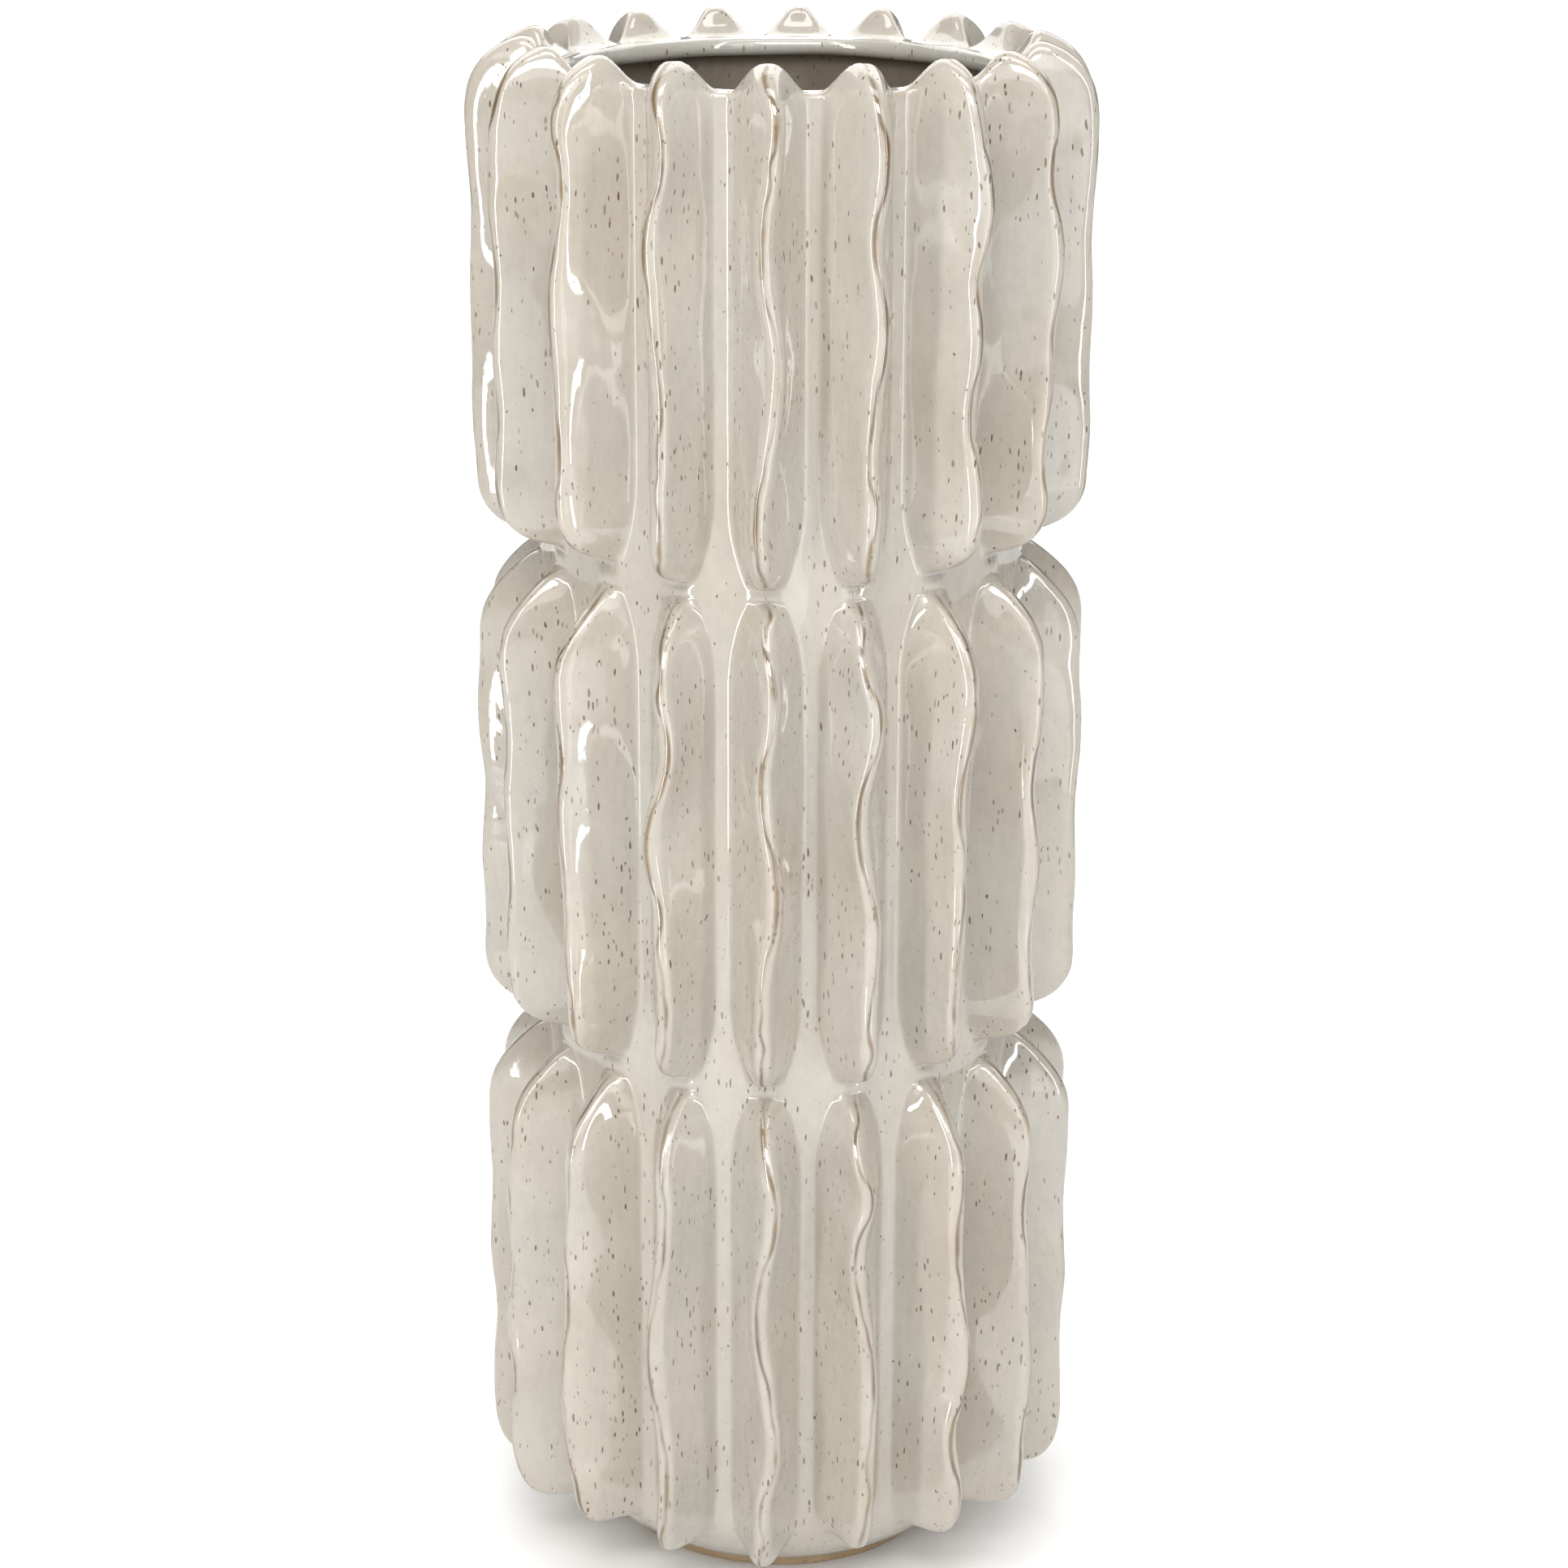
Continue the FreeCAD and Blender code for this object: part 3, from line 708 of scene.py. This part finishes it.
def specks(tree, cell, size, tall, keep, gather=1.0):
    """Mask of iron specks. cell is their spacing and size their radius in metres, tall their stretch
    upwards, keep the share of cells with a speck, and gather scales their size from place to place."""
    noise_inputs = {"Vector": tree.stretch((300, 300, 200)), "Scale": 1.0, "Detail": 1.0}
    wander = tree.node("ShaderNodeTexNoise", noise_inputs).outputs["Color"]
    reach = (1.1, 1.1, 0.9)
    shift = tree.node("ShaderNodeVectorMath", {0: wander, 1: reach}, operation="MULTIPLY").outputs[0]
    even = tree.stretch((1 / cell, 1 / cell, 1 / (cell * tall)))
    spread = tree.node("ShaderNodeVectorMath", {0: even, 1: shift}, operation="ADD").outputs[0]
    cells = tree.node("ShaderNodeTexVoronoi", {"Vector": spread, "Scale": 1.0, "Randomness": 1.0})
    chance = tree.node("ShaderNodeSeparateColor", {"Color": cells.outputs["Color"]})
    radius = tree.math("MULTIPLY", tree.ramp(chance.outputs[0], 1 - keep, 1.0, 0.0, size / cell), gather)
    inside = tree.math("SUBTRACT", radius, cells.outputs["Distance"])
    mask = tree.ramp(inside, 0.0, 0.25 * size / cell)
    return tree.math("MULTIPLY", mask, tree.ramp(chance.outputs[1], 0.0, 1.0, 0.5, 1.0))


CREAM = (0.485, 0.456, 0.406, 1)
WARM_CREAM = (0.485, 0.440, 0.374, 1)
# The inside's two colours are the cream glaze painted darker with the shade inside the vase.
SHADED_INSIDE = (0.22, 0.19, 0.155, 1)
SHADED_WARM_INSIDE = (0.185, 0.155, 0.122, 1)
LIP = (0.50, 0.49, 0.45, 1)
WARM_LIP = (0.46, 0.44, 0.39, 1)
THIN = (0.39, 0.33, 0.26, 1)            # thin glaze near the crests
TAN = (0.235, 0.165, 0.085, 1)          # where the glaze breaks on a crest
BROWN = (0.105, 0.07, 0.038, 1)         # the break's outer edge
SPECK = (0.11, 0.07, 0.042, 1)
DARK_SPECK = (0.05, 0.035, 0.026, 1)
PALE_CLAY = (0.50, 0.36, 0.21, 1)
RED_CLAY = (0.42, 0.29, 0.16, 1)
GRIT = (0.22, 0.14, 0.08, 1)
CLAY_SPECK = (0.10, 0.07, 0.05, 1)
GLAZE_IOR = 1.6
GLAZE_SPECULAR = 0.9
GLAZE_RELIEF = 0.00003                  # metres, of its orange peel and of the pits at its specks


def glaze_material(name, light, warm):
    """Stoneware glaze: iron specks, soft mottling, and tan clay where it breaks on the crests."""
    tree = Tree(name)
    # Soft clouds of a warmer cream, a fine mottle and faint upright streaks.
    cloud = tree.ramp(tree.noise((32, 32, 20), 3), 0.36, 0.64)
    colour = tree.mix(cloud, light, warm)
    mottle = tree.ramp(tree.noise((420, 420, 240), 4, 0.65), 0.3, 0.7, 0.95, 1.03)
    streaks = tree.ramp(tree.noise((1100, 1100, 34), 2), 0.3, 0.7, 0.982, 1.012)
    mottle = tree.math("MULTIPLY", mottle, streaks)
    grey = tree.node("ShaderNodeCombineColor", {0: mottle, 1: mottle, 2: mottle}).outputs[0]
    colour = tree.mix(1.0, colour, grey, "MULTIPLY")

    # Thin glaze beside the crests, and the tan and brown of the break, all in patches.
    thinned = tree.attribute("glaze_thin")
    thinned = tree.math("MULTIPLY", thinned, tree.ramp(tree.noise((60, 60, 45), 3), 0.35, 0.65, 0.1, 0.5))
    colour = tree.mix(thinned, colour, THIN)
    patch = tree.ramp(tree.noise((70, 70, 34), 3, 0.6), 0.38, 0.55)
    broken = tree.math("MULTIPLY", tree.attribute("glaze_break"), patch)
    colour = tree.mix(tree.ramp(broken, 0.05, 0.85, 0.0, 0.9), colour, TAN)
    worn = tree.ramp(tree.noise((110, 110, 50), 2), 0.42, 0.62, 0.3, 0.95)
    colour = tree.mix(tree.math("MULTIPLY", tree.attribute("glaze_edge"), worn), colour, BROWN)

    # Fine iron specks that run down the glaze in clusters, and fewer dark dots.
    cluster = tree.ramp(tree.noise((60, 60, 40), 2), 0.33, 0.60, 0.45, 1.0)
    fine = specks(tree, 0.00108, 0.00038, 3.4, 0.85, cluster)
    colour = tree.mix(tree.math("MULTIPLY", fine, 0.95), colour, SPECK)
    dark = specks(tree, 0.0029, 0.00036, 1.8, 0.8)
    colour = tree.mix(tree.math("MULTIPLY", dark, 0.9), colour, DARK_SPECK)

    tree.put(tree.shader.inputs["Base Color"], colour)
    gloss = tree.ramp(tree.noise((150, 150, 150), 2), 0.3, 0.7, 0.03, 0.06)
    tree.put(tree.shader.inputs["Roughness"], gloss)
    tree.put(tree.shader.inputs["IOR"], GLAZE_IOR)
    tree.put(tree.shader.inputs["Specular IOR Level"], GLAZE_SPECULAR)
    peel = tree.bump(tree.noise((260, 260, 160), 2), GLAZE_RELIEF)
    pits = tree.bump(tree.math("ADD", fine, dark), GLAZE_RELIEF, 0.6, peel)
    tree.put(tree.shader.inputs["Normal"], pits)
    return tree.material


def clay_material():
    """Bare tan stoneware, matt and gritty."""
    tree = Tree("bare_clay")
    cloud = tree.ramp(tree.noise((70, 70, 70), 4, 0.6), 0.35, 0.65)
    colour = tree.mix(cloud, PALE_CLAY, RED_CLAY)
    grit = tree.noise((1500, 1500, 1500), 3, 0.7)
    colour = tree.mix(tree.ramp(grit, 0.55, 0.75), colour, GRIT)
    dots = specks(tree, 0.0016, 0.00022, 1.0, 0.6)
    colour = tree.mix(tree.math("MULTIPLY", dots, 0.8), colour, CLAY_SPECK)
    tree.put(tree.shader.inputs["Base Color"], colour)
    tree.put(tree.shader.inputs["Roughness"], tree.ramp(grit, 0.3, 0.7, 0.62, 0.8))
    tree.put(tree.shader.inputs["Normal"], tree.bump(grit, 0.00012, 0.8))
    return tree.material


GLAZE = glaze_material("glaze", CREAM, WARM_CREAM)
# The inside's glaze: painted shade, darker than the same cream glaze outside.
GLAZE_SHADED_INSIDE = glaze_material("glaze_inside_painted_shade", SHADED_INSIDE, SHADED_WARM_INSIDE)
GLAZE_LIP = glaze_material("glaze_lip", LIP, WARM_LIP)
CLAY = clay_material()


# ---- stage, lights and camera -------------------------------------------------------------------
FLOOR_HALF = 16.0               # metres; the pale floor fills the view from any side
FLOOR_COLOUR = (0.9, 0.9, 0.9, 1)
ROOM_COLOUR = (1.0, 0.995, 0.985, 1)
ROOM_HORIZON = 0.1
ROOM_ZENITH = 0.4
WARM_LIGHT = (1.0, 0.985, 0.955)
COOL_LIGHT = (0.98, 0.99, 1.0)
WHITE_LIGHT = (1.0, 1.0, 1.0)
# Name, azimuth, distance, height, tilt down in degrees, (width, height) in metres, brightness, colour.
# The strips reach down to the floor, where the upright glaze reflects them to the camera.
SOFTBOXES = (
    ("left_strip", -34, 0.62, 0.62, 0, (0.055, 1.2), 10.5, WARM_LIGHT),
    ("right_strip", 38, 0.62, 0.62, 0, (0.046, 1.2), 7.5, COOL_LIGHT),
    ("right_pale", 20, 0.62, 0.62, 0, (0.13, 1.2), 0.9, COOL_LIGHT),
    ("rear_strip", 180, 0.62, 0.62, 0, (0.06, 1.2), 6.0, WARM_LIGHT),
    ("high_front", -4, 1.1, 1.4, 46, (0.7, 0.5), 8.0, WARM_LIGHT),
    ("overhead", 0, 0.35, 1.7, 77, (1.0, 0.4), 3.8, WHITE_LIGHT),
    ("front_floor", 0, 4.0, 2.4, 90, (4.6, 4.6), 1.1, WHITE_LIGHT),
    ("backdrop", 180, 3.0, 2.0, 90, (4.6, 4.6), 2.0, WHITE_LIGHT),
)


def add_floor():
    """A pale matt floor."""
    surface = Tree("floor")
    surface.put(surface.shader.inputs["Base Color"], FLOOR_COLOUR)
    surface.put(surface.shader.inputs["Roughness"], 0.9)
    signs = ((-1, -1), (1, -1), (1, 1), (-1, 1))
    mesh = bpy.data.meshes.new("floor")
    mesh.from_pydata([(x * FLOOR_HALF, y * FLOOR_HALF, 0) for x, y in signs], [], [(0, 1, 2, 3)])
    mesh.materials.append(surface.material)
    floor = bpy.data.objects.new("floor", mesh)
    bpy.context.scene.collection.objects.link(floor)


def add_softbox(name, azimuth, distance, height, tilt, size, brightness, colour):
    """A rectangular light at an azimuth from the front towards +X, facing the vase. Its power grows with
    its area, so that brightness is what a reflection of it shows."""
    data = bpy.data.lights.new(name, "AREA")
    data.shape = "RECTANGLE"
    data.size, data.size_y = size
    data.energy = brightness * math.pi * size[0] * size[1]
    data.color = colour
    light = bpy.data.objects.new(name, data)
    turn = math.radians(azimuth)
    light.location = (distance * math.sin(turn), -distance * math.cos(turn), height)
    light.rotation_euler = (math.radians(90 - tilt), 0, turn)
    light.visible_camera = False
    bpy.context.scene.collection.objects.link(light)


def add_room():
    """A white room, brighter overhead than at the horizon."""
    world = bpy.data.worlds.new("room")
    world.use_nodes = True
    tree = world.node_tree
    direction = tree.nodes.new("ShaderNodeTexCoord")
    parts = tree.nodes.new("ShaderNodeSeparateXYZ")
    strength = tree.nodes.new("ShaderNodeMapRange")
    strength.inputs["To Min"].default_value = ROOM_HORIZON
    strength.inputs["To Max"].default_value = ROOM_ZENITH
    tree.links.new(direction.outputs["Generated"], parts.inputs[0])
    tree.links.new(parts.outputs["Z"], strength.inputs["Value"])
    tree.links.new(strength.outputs[0], tree.nodes["Background"].inputs["Strength"])
    tree.nodes["Background"].inputs["Color"].default_value = ROOM_COLOUR
    bpy.context.scene.world = world


def add_camera():
    """The camera looks down at the vase's middle from the front, as a short telephoto lens would."""
    data = bpy.data.cameras.new("camera")
    data.lens = CAMERA_LENS
    data.sensor_width = SENSOR_WIDTH
    camera = bpy.data.objects.new("camera", data)
    pitch = Matrix.Rotation(math.radians(90 - CAMERA_DOWN), 4, "X")
    roll = Matrix.Rotation(math.radians(CAMERA_ROLL), 4, "Z")
    camera.matrix_world = Matrix.Translation([value * MM for value in CAMERA_AT]) @ pitch @ roll
    bpy.context.scene.collection.objects.link(camera)
    bpy.context.scene.camera = camera


add_floor()
add_room()
for softbox in SOFTBOXES:
    add_softbox(*softbox)
add_camera()
bpy.context.scene.view_settings.view_transform = "Standard"
for tier_name in TIER_NAMES:
    for rib_number in range(1, RIBS_PER_TIER + 1):
        rib_tile(tier_name, rib_number)
wall_piece()
lip_piece()
slab_piece()
foot_piece()
